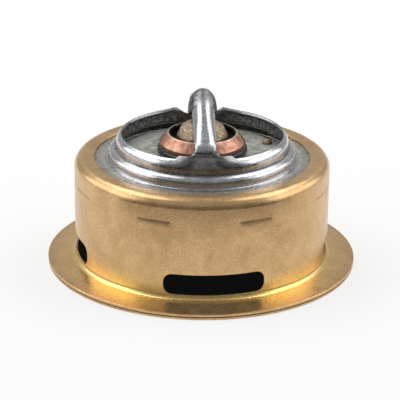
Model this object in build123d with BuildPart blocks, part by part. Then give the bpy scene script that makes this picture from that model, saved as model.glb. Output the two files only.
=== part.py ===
"""Engine thermostat with a flanged brass can, bypass windows and a wax element.

Millimetres, +Z up. The origin is the centre of the flange's underside, the front of the
can (the side with the nearest bypass window) faces -Y, and the bridge arches in the YZ plane.
Sheet pieces are drawn as the middle line of their section, which is then given its thickness.
"""
import os
from math import atan2, cos, degrees, hypot, radians, sin, sqrt

from build123d import *

# Brass can
can_d = 60.0
flange_width = 6.5
can_h = 26.0
can_sheet = 0.6
flange_bend_r = 1.7
shoulder_r = 2.3
lip_clearance = 2.5

# Stiffening ring under the flange
base_ring_t = 0.7

# Bypass windows in the can wall
slot_count = 4
slot_length = 22.8
slot_height = 4.9
slot_bottom = 3.0
slot_corner_r = 2.0
slot_phase = 5.0

# Stakes that hold the seat plate
stake_count = 8
stake_arc = 15.5
stake_height = 1.5
stake_depth = 0.35
stake_phase = 23.2

# Seat plate
plate_t = 1.0
plate_bend_r = 1.4
plate_rim_depth = 5.0
plate_gap = 0.05
seat_inset = 9.8

# Bridge frame, a drawn ring with the arch that holds the piston
frame_sheet = 0.7
ring_overhang = 0.05
foot_width = 0.75
foot_bend_r = 0.5
step_width = 1.8
step_height = 2.7
step_bend_r = 1.2
crease_r = 0.4
rim_height = 5.95
rim_bend_r = 1.0
rim_width = 1.45
lug_width = 13.8
front_lug_rise = 0.95
rear_lug_rise = 0.1
lug_fillet_r = 1.7
strap_base_width = 4.7
strap_crown_width = 5.4
strap_base_depth = 1.0
strap_crown_depth = 2.3
arch_knee_rise = 3.5
arch_peak_rise = 10.15
arch_knee_r = 3.5
arch_crown_r = 14.0
socket_d = 6.7
socket_depth = 4.8
socket_nose_r = 2.3
socket_skirt = 0.4
socket_rise = 10.65

# Valve disc
disc_sheet = 0.9
disc_crown_rise = 1.2
disc_bend_r = 1.2
disc_neck_gap = 0.6
disc_overlap = 1.4
disc_foot_bend_r = 0.6
seat_gap = 0.1

# Wax element
piston_d = 4.0
piston_bottom = 13.6
piston_tip_d = 2.2
piston_tip_length = 2.0
piston_gap = 0.06
can_body_d = 15.2
can_wall = 0.8
element_bottom = 8.9
stem_d = 10.0
stem_length = 2.6
cup_d = 20.14
collar_lip_d = 16.3
collar_height = 3.1
collar_straight = 0.9
guide_dome_d = 11.8
guide_flange_t = 0.6
guide_boss_depth = 1.2
guide_dome_rise = 4.3
guide_crown_d = 6.0
guide_dome_r = 4.2
guide_dome_bulge = 0.8
element_gap = 0.1
clamp_gap = 0.03
seal_d = 21.5
seal_height = 1.8
seal_lip = 0.6
spacer_t = 0.5
boot_d = 8.4
boot_flange_t = 0.9
boot_floor_t = 0.6

# Main spring and its seats
wire_d = 1.4
spring_turns = 3.25
spring_bottom_d = 19.6
spring_gap = 0.05
cup_sheet = 0.6
cup_rim_depth = 1.2
cup_gap = 0.2
bracket_sheet = 1.2
bracket_width = 9.0
bracket_tab_gap = 1.45
bracket_tab_reach = 3.6
bracket_bend_r = 2.0
bracket_knee_rise = 2.2
bracket_seat_d = 25.2
bracket_collar_rise = 1.6
bracket_collar_t = 0.8
guide_gap = 0.4
hub_gap = 0.4

# Bypass sleeve and what keeps it on the element
sleeve_sheet = 0.7
sleeve_gap = 0.5
sleeve_height = 8.4
sleeve_lap = 0.7
sleeve_bend_r = 1.5
hub_d = 19.0
hub_slope = 4.5
spoke_width = 6.0
window_inner_r = 15.0
window_corner_r = 1.5
window_rim = 2.9
stem_gap = 0.2
washer_t = 0.6
washer_d = 16.0
clip_t = 0.7
clip_d = 12.6
clip_groove_depth = 0.6
clip_mouth = 40.0

# Jiggle pin
jiggle_inset = 2.9
jiggle_cup_gap = 0.4
jiggle_azimuth = 111.0
jiggle_lift = 1.2
jiggle_hole_d = 1.9
jiggle_shank_d = 1.3
jiggle_head_d = 2.4
jiggle_weight_d = 2.4
jiggle_weight_h = 1.6
jiggle_weight_round = 0.3

# Sizes that follow from the ones above
flange_r = can_d / 2 + flange_width
can_mid_r = (can_d - can_sheet) / 2
can_inner_r = can_d / 2 - can_sheet
plate_top = can_h - can_sheet
plate_bottom = plate_top - plate_t
plate_outer_r = can_inner_r - plate_gap
stake_top = plate_top - plate_rim_depth
foot_mid = plate_top + frame_sheet / 2
step_mid = plate_top + step_height - frame_sheet / 2
rim_top = plate_top + rim_height
rim_mid = rim_top - frame_sheet / 2
seat_bore_r = can_d / 2 - seat_inset
wall_r = seat_bore_r + ring_overhang
wall_mid_r = wall_r - frame_sheet / 2
step_r = wall_r + step_width
step_mid_r = step_r - frame_sheet / 2
foot_r = step_r + foot_width
rim_bore_r = wall_r - rim_width
lip_bore_r = foot_r + lip_clearance
lug_base = rim_mid - rim_bend_r
arch_knee = rim_top + arch_knee_rise
arch_peak = rim_top + arch_peak_rise
arch_slope = (arch_peak_rise - arch_knee_rise) / wall_r
disc_top = plate_top + disc_crown_rise
disc_bottom = disc_top - disc_sheet
disc_neck_r = seat_bore_r - disc_neck_gap
disc_flange_r = seat_bore_r + disc_overlap
disc_flange_mid = plate_bottom - seat_gap - disc_sheet / 2
can_hole_r = can_body_d / 2 + element_gap
cup_floor = disc_top + seal_height
cup_floor_top = cup_floor + can_wall
collar_top = cup_floor + collar_height
body_bottom = element_bottom + stem_length
cavity_r = can_body_d / 2 - can_wall
bracket_bottom = body_bottom + hub_gap
bracket_top = bracket_bottom + bracket_sheet
cup_bottom = disc_bottom - cup_sheet
sleeve_outer_r = can_inner_r - sleeve_gap
window_outer_r = sleeve_outer_r - window_rim
sleeve_bottom = slot_bottom + slot_height + sleeve_lap
piston_r = piston_d / 2
piston_bore_r = piston_r + piston_gap
jiggle_radius = disc_neck_r - jiggle_inset
jiggle_x = jiggle_radius * sin(radians(jiggle_azimuth))
jiggle_y = -jiggle_radius * cos(radians(jiggle_azimuth))
socket_r = socket_d / 2
socket_top = rim_top + socket_rise
socket_base = socket_top - socket_depth
nose_z = socket_top - socket_nose_r
flank_r = (socket_r**2 + (nose_z - socket_base) ** 2 - socket_nose_r**2) / (
    2 * (socket_r - socket_nose_r)
)
tip_r = piston_tip_d / 2
tip_depth = sqrt((socket_nose_r - frame_sheet) ** 2 - tip_r**2)
piston_top = nose_z + tip_depth - clamp_gap
bracket_mid = bracket_bottom + bracket_sheet / 2
bracket_tab_end = plate_outer_r - plate_t - bracket_tab_gap
bracket_leg_mid = bracket_tab_end - bracket_tab_reach
bracket_hole_r = can_body_d / 2 + guide_gap
guide_bottom = cup_floor_top - guide_boss_depth
guide_shelf = cup_floor_top + guide_flange_t
guide_crown = cup_floor_top + guide_flange_t + guide_dome_rise
boot_top = guide_bottom - spacer_t
boot_bottom = piston_bottom - element_gap - boot_floor_t
clip_groove_r = stem_d / 2 - clip_groove_depth
clip_bottom = body_bottom - sleeve_sheet - washer_t - clip_t
cup_hole_r = bracket_hole_r + element_gap
cup_rim_r = jiggle_radius - jiggle_weight_d / 2 - jiggle_cup_gap - cup_sheet / 2
spring_top_r = cup_rim_r - cup_sheet / 2 - cup_gap - wire_d / 2
spring_bottom = bracket_top + spring_gap + wire_d / 2
spring_top = cup_bottom - spring_gap - wire_d / 2
spring_flare = spring_top_r - spring_bottom_d / 2
spring_cone = degrees(atan2(spring_flare, spring_top - spring_bottom))
sleeve_floor_mid = sleeve_bottom + sleeve_sheet / 2
jiggle_weight_top = disc_bottom - jiggle_lift

os.makedirs("parts", exist_ok=True)


def collar_inner_r(height):
    """Inner radius of the rolled-in collar, one wall inside its outer cone."""
    cone_rise = collar_height - collar_straight
    cone_run = (cup_d - collar_lip_d) / 2
    outer_r = collar_lip_d / 2 + (collar_top - height) * cone_run / cone_rise
    return outer_r - can_wall * hypot(cone_run, cone_rise) / cone_rise


def write(builder, name):
    """Label a finished piece and write it as its own file."""
    builder.part.label = name
    export_step(builder.part, f"parts/{name}.step")


# Cutter for one bypass window, punched straight through the wall
with BuildPart() as slot_cutter:
    with BuildSketch(Plane.XZ):
        with Locations((0, slot_bottom + slot_height / 2)):
            RectangleRounded(slot_length, slot_height, slot_corner_r)
    extrude(amount=flange_r)

# One stake is a wedge pressed out of the wall, open at its upper edge
with BuildPart() as stake_cutter:
    with BuildSketch(Plane.XZ):
        with BuildLine():
            Polyline(
                (can_d / 2, stake_top - stake_height),
                (can_d / 2 + stake_depth, stake_top - stake_height),
                (can_d / 2 + stake_depth, stake_top),
                (can_d / 2 - stake_depth, stake_top),
                close=True,
            )
        make_face()
    revolve(axis=Axis.Z, revolution_arc=stake_arc)

with BuildPart() as stake_bump:
    with BuildSketch(Plane.XZ):
        with BuildLine():
            Polyline(
                (can_inner_r, stake_top - stake_height),
                (can_mid_r, stake_top - stake_height),
                (can_mid_r, stake_top - stake_height / 2),
                (can_d / 2 - stake_depth, stake_top),
                (can_inner_r - stake_depth, stake_top),
                close=True,
            )
        make_face()
    revolve(axis=Axis.Z, revolution_arc=stake_arc)

# Drawn brass can: flange, wall and rolled-in top lip from one sheet
with BuildPart() as housing_can:
    with BuildSketch(Plane.XZ):
        with BuildLine():
            FilletPolyline(
                (flange_r, base_ring_t + can_sheet / 2),
                (can_mid_r, base_ring_t + can_sheet / 2),
                (can_mid_r, can_h - can_sheet / 2),
                (lip_bore_r, can_h - can_sheet / 2),
                radius=[flange_bend_r + can_sheet / 2, shoulder_r - can_sheet / 2],
            )
        trace(line_width=can_sheet)
    revolve(axis=Axis.Z)
    with PolarLocations(0, slot_count, start_angle=slot_phase):
        add(slot_cutter.part, mode=Mode.SUBTRACT)
    with PolarLocations(0, stake_count, start_angle=stake_phase - 90 - stake_arc / 2):
        add(stake_cutter.part, mode=Mode.SUBTRACT)
        add(stake_bump.part)
write(housing_can, "housing_can")

# Flat brass ring that stiffens the flange from below
with BuildPart() as base_ring:
    with BuildSketch():
        Circle(flange_r)
        Circle(can_inner_r, mode=Mode.SUBTRACT)
    extrude(amount=base_ring_t)
write(base_ring, "base_ring")

# Pressed steel seat plate: flat on top, its turned-down rim stands on the stakes
with BuildPart() as seat_plate:
    with BuildSketch(Plane.XZ):
        with BuildLine():
            FilletPolyline(
                (seat_bore_r, plate_top - plate_t / 2),
                (plate_outer_r - plate_t / 2, plate_top - plate_t / 2),
                (plate_outer_r - plate_t / 2, stake_top),
                radius=plate_bend_r,
            )
        trace(line_width=plate_t)
    revolve(axis=Axis.Z)
write(seat_plate, "seat_plate")

# The sheet of the arch where it leaves the wall, as a shell of revolution
with BuildPart() as lug_shell:
    with BuildSketch(Plane.XZ):
        with BuildLine():
            FilletPolyline(
                (wall_mid_r, lug_base),
                (wall_mid_r, arch_knee - frame_sheet / 2),
                (strap_crown_width, arch_peak - strap_crown_width * arch_slope - frame_sheet / 2),
                radius=arch_knee_r - frame_sheet / 2,
            )
        trace(line_width=frame_sheet)
    revolve(axis=Axis.Z)

# Two lugs, cut from that shell by their outline as seen from the front
lugs = []
for lug_rise, reach in ((front_lug_rise, flange_r), (rear_lug_rise, -flange_r)):
    lug_edge = rim_top + lug_rise
    lug_top = lug_edge + lug_fillet_r + frame_sheet
    with BuildPart() as lug:
        with BuildSketch(Plane.XZ) as lug_outline:
            with BuildLine():
                Polyline(
                    (-lug_width / 2, lug_base),
                    (-lug_width / 2, lug_edge),
                    (-strap_base_width / 2, lug_edge),
                    (-strap_base_width / 2, lug_top),
                    (strap_base_width / 2, lug_top),
                    (strap_base_width / 2, lug_edge),
                    (lug_width / 2, lug_edge),
                    (lug_width / 2, lug_base),
                    close=True,
                )
            make_face()
            inner_corners = [
                corner
                for corner in lug_outline.vertices()
                if abs(corner.Z - lug_edge) < clamp_gap and abs(corner.X) < strap_crown_width / 2
            ]
            fillet(inner_corners, radius=lug_fillet_r)
        extrude(amount=reach)
        add(lug_shell.part, mode=Mode.INTERSECT)
    lugs.append(lug.part)

# Half of the arch: a channel that deepens and widens from the lug to the crown
with BuildPart() as half_strap:
    with BuildLine() as crest:
        FilletPolyline(
            (0, wall_r, lug_base),
            (0, wall_r, arch_knee),
            (0, 0, arch_peak),
            (0, -wall_r, arch_knee),
            radius=[arch_knee_r, arch_crown_r],
        )
        split(bisect_by=Plane.XZ, keep=Keep.BOTTOM)
    crest_wire = crest.wire()
    for place, width, depth in (
        (0, strap_base_width, strap_base_depth),
        (1, strap_crown_width, strap_crown_depth),
    ):
        with BuildSketch(Plane(crest_wire @ place, x_dir=(1, 0, 0), z_dir=crest_wire % place)):
            with Locations((0, -depth)):
                Ellipse(width / 2, depth)
                Ellipse(width / 2 - frame_sheet, depth - frame_sheet, mode=Mode.SUBTRACT)
                Rectangle(width, depth, align=(Align.CENTER, Align.MAX), mode=Mode.SUBTRACT)
    sweep(path=crest_wire, multisection=True)

# Drawn socket at the crown, a bullet of two tangent arcs: its outside, then its inside
socket_forms = []
for inset, foot_z in ((0, socket_base - socket_skirt), (frame_sheet, rim_top)):
    lean = atan2(nose_z - socket_base, flank_r - socket_r)
    nose_r = socket_nose_r - inset
    with BuildPart() as socket_form:
        with BuildSketch(Plane.XZ):
            with BuildLine():
                flank = RadiusArc(
                    (socket_r - inset, socket_base),
                    (nose_r * cos(lean), nose_z + nose_r * sin(lean)),
                    inset - flank_r,
                )
                nose = RadiusArc(flank @ 1, (0, nose_z + nose_r), -nose_r)
                Polyline(nose @ 1, (0, foot_z), (socket_r - inset, foot_z), flank @ 0)
            make_face()
        revolve(axis=Axis.Z)
    socket_forms.append(socket_form.part)
socket_blank, socket_bore = socket_forms

# Both halves of the arch with the socket's outside
with BuildPart() as arch:
    add(half_strap.part)
    add(mirror(half_strap.part, about=Plane.XZ))
    add(socket_blank)

# Pressed steel bridge frame: stepped ring, curled rim, arch and drawn piston socket
with BuildPart() as bridge_frame:
    with BuildSketch(Plane.XZ):
        with BuildLine():
            FilletPolyline(
                (foot_r, foot_mid),
                (step_mid_r, foot_mid),
                (step_mid_r, step_mid),
                (wall_mid_r, step_mid),
                (wall_mid_r, rim_mid),
                (rim_bore_r, rim_mid),
                radius=[foot_bend_r, step_bend_r, crease_r, rim_bend_r],
            )
        trace(line_width=frame_sheet)
    revolve(axis=Axis.Z)
    with BuildSketch(Plane.XY.offset(lug_base)):
        Rectangle(lug_width, 2 * foot_r)
    extrude(amount=rim_height, mode=Mode.SUBTRACT)
    add(lugs)
    add(arch.part)
    add(socket_bore, mode=Mode.SUBTRACT)
write(bridge_frame, "bridge_frame")

# Steel bracket under the seat plate: two legs, a round spring seat and a guide collar
with BuildPart() as bracket_strap:
    with BuildSketch(Plane.XZ.offset(-bracket_width / 2)):
        with BuildLine():
            FilletPolyline(
                (-bracket_tab_end, plate_bottom - bracket_sheet / 2),
                (-bracket_leg_mid, plate_bottom - bracket_sheet / 2),
                (-bracket_leg_mid, bracket_mid + bracket_knee_rise),
                (-bracket_seat_d / 2, bracket_mid),
                (bracket_seat_d / 2, bracket_mid),
                (bracket_leg_mid, bracket_mid + bracket_knee_rise),
                (bracket_leg_mid, plate_bottom - bracket_sheet / 2),
                (bracket_tab_end, plate_bottom - bracket_sheet / 2),
                radius=bracket_bend_r,
            )
        trace(line_width=bracket_sheet)
    extrude(amount=bracket_width)

with BuildPart() as spring_bracket:
    add(bracket_strap.part)
    with BuildSketch(Plane.XY.offset(bracket_bottom)):
        Circle(bracket_seat_d / 2)
    extrude(amount=bracket_sheet)
    with BuildSketch(Plane.XY.offset(bracket_top)):
        Circle(bracket_hole_r + bracket_collar_t)
    extrude(amount=bracket_collar_rise)
    with BuildSketch(Plane.XY.offset(bracket_bottom)):
        Circle(bracket_hole_r)
    extrude(amount=bracket_sheet + bracket_collar_rise, mode=Mode.SUBTRACT)
write(spring_bracket, "spring_bracket")

# Steel piston: its tapered tip stands in the socket of the arch
with BuildPart() as piston:
    with BuildSketch(Plane.XZ):
        with BuildLine():
            Polyline(
                (0, piston_bottom),
                (piston_r, piston_bottom),
                (piston_r, piston_top - piston_tip_length),
                (tip_r, piston_top),
                (0, piston_top),
                close=True,
            )
        make_face()
    revolve(axis=Axis.Z)
write(piston, "piston")

# Hat-shaped valve disc that closes against the underside of the seat plate
with BuildPart() as valve_disc:
    with BuildSketch(Plane.XZ):
        with BuildLine():
            FilletPolyline(
                (can_hole_r, disc_top - disc_sheet / 2),
                (disc_neck_r - disc_sheet / 2, disc_top - disc_sheet / 2),
                (disc_neck_r - disc_sheet / 2, disc_flange_mid),
                (disc_flange_r, disc_flange_mid),
                radius=[disc_bend_r, disc_foot_bend_r],
            )
        trace(line_width=disc_sheet)
    revolve(axis=Axis.Z)
    with BuildSketch(Plane.XY.offset(disc_bottom)):
        with Locations((jiggle_x, jiggle_y)):
            Circle(jiggle_hole_d / 2)
    extrude(amount=disc_sheet, mode=Mode.SUBTRACT)
write(valve_disc, "valve_disc")

# Rubber ring between the disc and the element's cup, with a lip around the cup
with BuildPart() as element_seal:
    with BuildSketch(Plane.XZ):
        with BuildLine():
            Polyline(
                (can_hole_r, disc_top),
                (seal_d / 2, disc_top),
                (seal_d / 2, cup_floor + seal_lip),
                (cup_d / 2 + clamp_gap, cup_floor + seal_lip),
                (cup_d / 2 + clamp_gap, cup_floor),
                (can_hole_r, cup_floor),
                close=True,
            )
        make_face()
    revolve(axis=Axis.Z)
write(element_seal, "element_seal")

# Copper case of the wax element: grooved stem, wax chamber, cup and rolled-in collar
with BuildPart() as wax_can:
    with BuildSketch(Plane.XZ):
        with BuildLine():
            Polyline(
                (0, element_bottom),
                (stem_d / 2, element_bottom),
                (stem_d / 2, clip_bottom),
                (clip_groove_r, clip_bottom),
                (clip_groove_r, clip_bottom + clip_t),
                (stem_d / 2, clip_bottom + clip_t),
                (stem_d / 2, body_bottom),
                (can_body_d / 2, body_bottom),
                (can_body_d / 2, cup_floor),
                (cup_d / 2, cup_floor),
                (cup_d / 2, cup_floor + collar_straight),
                (collar_lip_d / 2, collar_top),
                (collar_inner_r(collar_top), collar_top),
                (collar_inner_r(cup_floor_top), cup_floor_top),
                (cavity_r, cup_floor_top),
                (cavity_r, body_bottom + can_wall),
                (0, body_bottom + can_wall),
                close=True,
            )
        make_face()
    revolve(axis=Axis.Z)
write(wax_can, "wax_can")

# Brass piston guide, clamped in the cup by the collar
with BuildPart() as element_guide:
    with BuildSketch(Plane.XZ):
        with BuildLine():
            rise = Polyline(
                (piston_bore_r, guide_bottom),
                (cavity_r - clamp_gap, guide_bottom),
                (cavity_r - clamp_gap, cup_floor_top),
                (collar_inner_r(cup_floor_top) - clamp_gap, cup_floor_top),
                (collar_inner_r(guide_shelf) - clamp_gap, guide_shelf),
                (guide_dome_d / 2, guide_shelf),
                (guide_dome_d / 2, guide_crown - guide_dome_r),
            )
            crown = Line((guide_crown_d / 2, guide_crown), (piston_bore_r, guide_crown))
            SagittaArc(rise @ 1, crown @ 0, -guide_dome_bulge)
            Line(crown @ 1, rise @ 0)
        make_face()
    revolve(axis=Axis.Z)
write(element_guide, "element_guide")

# Slippery ring that keeps the rubber boot from creeping out along the piston
with BuildPart() as boot_spacer:
    with BuildSketch(Plane.XY.offset(guide_bottom - spacer_t)):
        Circle(cavity_r - clamp_gap)
        Circle(piston_bore_r, mode=Mode.SUBTRACT)
    extrude(amount=spacer_t)
write(boot_spacer, "boot_spacer")

# Rubber boot around the piston; the wax squeezes it and drives the piston out
with BuildPart() as piston_boot:
    with BuildSketch(Plane.XZ):
        with BuildLine():
            Polyline(
                (0, boot_bottom),
                (boot_d / 2, boot_bottom),
                (boot_d / 2, boot_top - boot_flange_t),
                (cavity_r - clamp_gap, boot_top - boot_flange_t),
                (cavity_r - clamp_gap, boot_top),
                (piston_bore_r, boot_top),
                (piston_bore_r, piston_bottom - element_gap),
                (0, piston_bottom - element_gap),
                close=True,
            )
        make_face()
    revolve(axis=Axis.Z)
write(piston_boot, "piston_boot")

# Wax filling around the boot
with BuildPart() as wax_charge:
    with BuildSketch(Plane.XZ):
        with BuildLine():
            Polyline(
                (0, body_bottom + can_wall),
                (cavity_r - clamp_gap, body_bottom + can_wall),
                (cavity_r - clamp_gap, boot_top - boot_flange_t),
                (boot_d / 2 + clamp_gap, boot_top - boot_flange_t),
                (boot_d / 2 + clamp_gap, boot_bottom),
                (0, boot_bottom),
                close=True,
            )
        make_face()
    revolve(axis=Axis.Z)
write(wax_charge, "wax_charge")

# Upper spring seat, a shallow steel cup under the disc
with BuildPart() as spring_cup:
    with BuildSketch(Plane.XZ):
        with BuildLine():
            FilletPolyline(
                (cup_hole_r, disc_bottom - cup_sheet / 2),
                (cup_rim_r, disc_bottom - cup_sheet / 2),
                (cup_rim_r, cup_bottom - cup_rim_depth),
                radius=cup_sheet,
            )
        trace(line_width=cup_sheet)
    revolve(axis=Axis.Z)
write(spring_cup, "spring_cup")

# Conical main spring between the bracket and the cup
with BuildPart() as main_spring:
    with BuildLine() as coil:
        Helix(
            pitch=(spring_top - spring_bottom) / spring_turns,
            height=spring_top - spring_bottom,
            radius=spring_bottom_d / 2,
            center=(0, 0, spring_bottom),
            cone_angle=spring_cone,
        )
    with BuildSketch(Plane(coil.line @ 0, z_dir=coil.line % 0)):
        Circle(wire_d / 2)
    sweep(path=coil.line, is_frenet=True)
write(main_spring, "main_spring")

# Bypass sleeve: dished spider on the element's stem with a wall that shuts the windows
with BuildPart() as bypass_sleeve:
    with BuildSketch(Plane.XZ):
        with BuildLine():
            FilletPolyline(
                (stem_d / 2 + stem_gap, body_bottom - sleeve_sheet / 2),
                (hub_d / 2, body_bottom - sleeve_sheet / 2),
                (hub_d / 2 + hub_slope, sleeve_floor_mid),
                (sleeve_outer_r - sleeve_sheet / 2, sleeve_floor_mid),
                (sleeve_outer_r - sleeve_sheet / 2, sleeve_floor_mid + sleeve_height),
                radius=sleeve_bend_r,
            )
        trace(line_width=sleeve_sheet)
    revolve(axis=Axis.Z)
    with BuildSketch(Plane.XY.offset(sleeve_floor_mid - sleeve_sheet)) as floor_windows:
        Circle(window_outer_r)
        Circle(window_inner_r, mode=Mode.SUBTRACT)
        with PolarLocations(0, 2, start_angle=45, angular_range=180):
            Rectangle(can_d, spoke_width, mode=Mode.SUBTRACT)
        fillet(floor_windows.vertices(), radius=window_corner_r)
    extrude(amount=sleeve_sheet * 2, mode=Mode.SUBTRACT)
write(bypass_sleeve, "bypass_sleeve")

# Washer that carries the sleeve's hub
with BuildPart() as stem_washer:
    with BuildSketch(Plane.XY.offset(clip_bottom + clip_t)):
        Circle(washer_d / 2)
        Circle(stem_d / 2 + stem_gap, mode=Mode.SUBTRACT)
    extrude(amount=washer_t)
write(stem_washer, "stem_washer")

# Open retaining ring in the groove of the stem
with BuildPart() as retaining_ring:
    with BuildSketch(Plane.XY.offset(clip_bottom)):
        Circle(clip_d / 2)
        Circle(clip_groove_r + clamp_gap, mode=Mode.SUBTRACT)
        with BuildLine():
            Polyline(
                (0, 0),
                (clip_d * cos(radians(clip_mouth / 2)), -clip_d * sin(radians(clip_mouth / 2))),
                (clip_d * cos(radians(clip_mouth / 2)), clip_d * sin(radians(clip_mouth / 2))),
                close=True,
            )
        make_face(mode=Mode.SUBTRACT)
    extrude(amount=clip_t)
write(retaining_ring, "retaining_ring")

# Jiggle pin: a headed brass pin that lets trapped air through the disc
with BuildPart() as jiggle_pin:
    with Locations((jiggle_x, jiggle_y, disc_top)):
        Sphere(
            jiggle_head_d / 2,
            arc_size1=0,
            align=(Align.CENTER, Align.CENTER, Align.MIN),
        )
    with BuildSketch(Plane.XY.offset(jiggle_weight_top)):
        with Locations((jiggle_x, jiggle_y)):
            Circle(jiggle_shank_d / 2)
    extrude(amount=disc_top - jiggle_weight_top)
write(jiggle_pin, "jiggle_pin")

# Its weight below the disc
with BuildPart() as jiggle_weight:
    with BuildSketch(Plane.XY.offset(jiggle_weight_top - jiggle_weight_h)):
        with Locations((jiggle_x, jiggle_y)):
            Circle(jiggle_weight_d / 2)
    extrude(amount=jiggle_weight_h)
    fillet(jiggle_weight.edges().filter_by(GeomType.CIRCLE), radius=jiggle_weight_round)
write(jiggle_weight, "jiggle_weight")
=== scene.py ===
import math
import bmesh
import bpy
import numpy as np
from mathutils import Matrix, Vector


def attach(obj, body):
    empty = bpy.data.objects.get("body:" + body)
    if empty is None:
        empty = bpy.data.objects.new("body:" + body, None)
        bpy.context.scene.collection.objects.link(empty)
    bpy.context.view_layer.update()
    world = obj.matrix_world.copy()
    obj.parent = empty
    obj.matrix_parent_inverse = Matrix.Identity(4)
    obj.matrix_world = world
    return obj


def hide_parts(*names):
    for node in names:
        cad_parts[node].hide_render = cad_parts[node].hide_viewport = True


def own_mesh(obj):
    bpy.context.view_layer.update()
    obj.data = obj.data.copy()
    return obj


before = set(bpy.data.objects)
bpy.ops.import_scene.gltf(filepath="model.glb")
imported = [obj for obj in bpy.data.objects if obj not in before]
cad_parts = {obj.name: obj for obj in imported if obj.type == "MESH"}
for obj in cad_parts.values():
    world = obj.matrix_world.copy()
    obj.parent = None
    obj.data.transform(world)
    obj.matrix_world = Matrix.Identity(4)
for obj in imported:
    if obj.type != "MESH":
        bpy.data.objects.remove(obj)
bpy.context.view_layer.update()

mm = 0.001  # shapes are worked out in millimetres and written in metres
skew = 1.25  # the bridge frame sits turned by this many degrees in its plate
front, rear = -90.0 + skew, 90.0 + skew  # the middles of its two lugs, counted from +X


# ---- lines and sections, as (radius, height) pairs ----

def unit(vectors):
    # each vector divided by its own length
    return vectors / np.linalg.norm(vectors, axis=-1, keepdims=True)


def lengthAlong(line):
    # how long the line is from its first point up to each point
    return np.concatenate([[0], np.cumsum(np.linalg.norm(np.diff(line, axis=0), axis=1))])


def pointsAt(at, length, line):
    # the line's values at other lengths along it
    return np.stack([np.interp(at, length, values) for values in line.T], 1)


def refine(line, reach, longest):
    # adds points at `reach` from both ends of every longer run, and never leaves more than `longest` between two
    length = lengthAlong(line)
    start, end = length[:-1], length[1:]
    wide = end - start > 2.5 * reach
    start, end = start[wide] + reach, end[wide] - reach
    runs = [np.linspace(a, b, max(2, int((b - a) / longest) + 1)) for a, b in zip(start, end)]
    at = np.unique(np.round(np.concatenate([length, *runs]), 7))
    return pointsAt(at, length, line)


def roundedLine(corners, radii, step=7.0, reach=0.14, longest=4.0):
    # every inner corner becomes an arc of its own radius that touches both runs, cut into steps of some degrees
    corners = np.asarray(corners, float)
    parts = [corners[:1]]
    for i, radius in enumerate(np.broadcast_to(radii, len(corners) - 2)):
        inWay, outWay = unit(corners[i + 1] - corners[i]), unit(corners[i + 2] - corners[i + 1])
        turn = math.atan2(inWay[0] * outWay[1] - inWay[1] * outWay[0], inWay @ outWay)
        if radius <= 0 or abs(turn) < 1e-4:
            parts.append(corners[i + 1:i + 2])
            continue
        arm = np.array([inWay[1], -inWay[0]]) * math.copysign(radius, turn)
        centre = corners[i + 1] - inWay * radius * math.tan(abs(turn) / 2) - arm
        angle = np.linspace(0, turn, max(3, int(abs(math.degrees(turn)) / step) + 2))
        across = np.array([-arm[1], arm[0]])
        parts.append(centre + np.outer(np.cos(angle), arm) + np.outer(np.sin(angle), across))
    parts.append(corners[-1:])
    return refine(np.concatenate(parts), reach, longest)


def roundedLoop(corners, radii, **spacing):
    # a closed outline with rounded corners, begun and ended halfway along its last side
    corners = np.asarray(corners, float)
    seam = (corners[0] + corners[-1]) / 2
    return roundedLine([seam, *corners, seam], radii, **spacing)[:-1]


def cornersOf(shape, names):
    # the (radius, height) pairs that the names stand for, two names to a corner
    return np.array([shape[name] for name in names.split()]).reshape(-1, 2)


def block(left, right, low, high):
    # the four corners of an upright rectangle
    return [(left, low), (right, low), (right, high), (left, high)]


def normalsOf(line):
    # the tangent at each point, and the left normal: the tangent, turned a quarter turn
    tangent = unit(np.gradient(line, lengthAlong(line), axis=0))
    return tangent, np.stack([-tangent[:, 1], tangent[:, 0]], 1)


def hairpin(line, sheet, lip=0.12):
    # out along the left face, round the cut edge and back along the right face; the edge is a flat, softened arc
    line = line.copy()
    tangent, normal = normalsOf(line)
    tip = line[-1].copy()
    line[-1] -= tangent[-1] * lip
    angle = np.radians(np.linspace(90, -90, 9))[1:-1]
    edge = tip + np.outer(lip * (np.sqrt(np.cos(angle)) - 1), tangent[-1])
    edge += np.outer(sheet / 2 * np.sin(angle), normal[-1])
    return np.concatenate([line + normal * sheet / 2, edge, (line - normal * sheet / 2)[::-1]])


def sheetLoop(line, sheet, lip=0.12):
    # the closed section of a bent sheet: both halves of the middle line are hairpins that share its middle
    half = len(line) // 2
    ahead, behind = hairpin(line[half:], sheet, lip), hairpin(line[:half + 1][::-1], sheet, lip)
    return np.concatenate([ahead, behind[1:-1]])


def addLevels(loop, heights):
    # adds a point wherever a steep side of the closed loop passes one of the heights
    closed = np.vstack([loop, loop[:1]])
    length = lengthAlong(closed)
    low, rise = closed[:-1, 1:], np.diff(closed[:, 1])[:, None]
    steep = np.abs(rise) > 1e-3
    share = (np.asarray(heights)[None] - low) / np.where(steep, rise, 1)
    hit = steep & (share > 0.001) & (share < 0.999)
    extra = (length[:-1, None] + share * np.diff(length)[:, None])[hit]
    at = np.unique(np.concatenate([length, extra]))[:-1]
    return pointsAt(at, length, closed)


# ---- grids of points ----

def spin(line, degrees):
    # x = r cos a, y = r sin a, z = z, for every point (r, z) of the line and every angle a
    angle = np.radians(degrees)[:, None]
    r, z = line.T
    return np.stack([np.cos(angle) * r, np.sin(angle) * r, np.broadcast_to(z, (len(degrees), len(z)))], -1)


def fullTurn(count):
    # even angles once round, in degrees
    return np.arange(count) * 360.0 / count


def cells(shape, wrapRows=False, wrapColumns=False):
    # one quad for each cell of the grid; a wrapped direction joins its last line to its first
    index = np.arange(shape[0] * shape[1]).reshape(shape[:2])
    if wrapRows:
        index = np.vstack([index, index[:1]])
    if wrapColumns:
        index = np.hstack([index, index[:, :1]])
    return np.stack([index[:-1, :-1], index[1:, :-1], index[1:, 1:], index[:-1, 1:]], -1).reshape(-1, 4)


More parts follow.
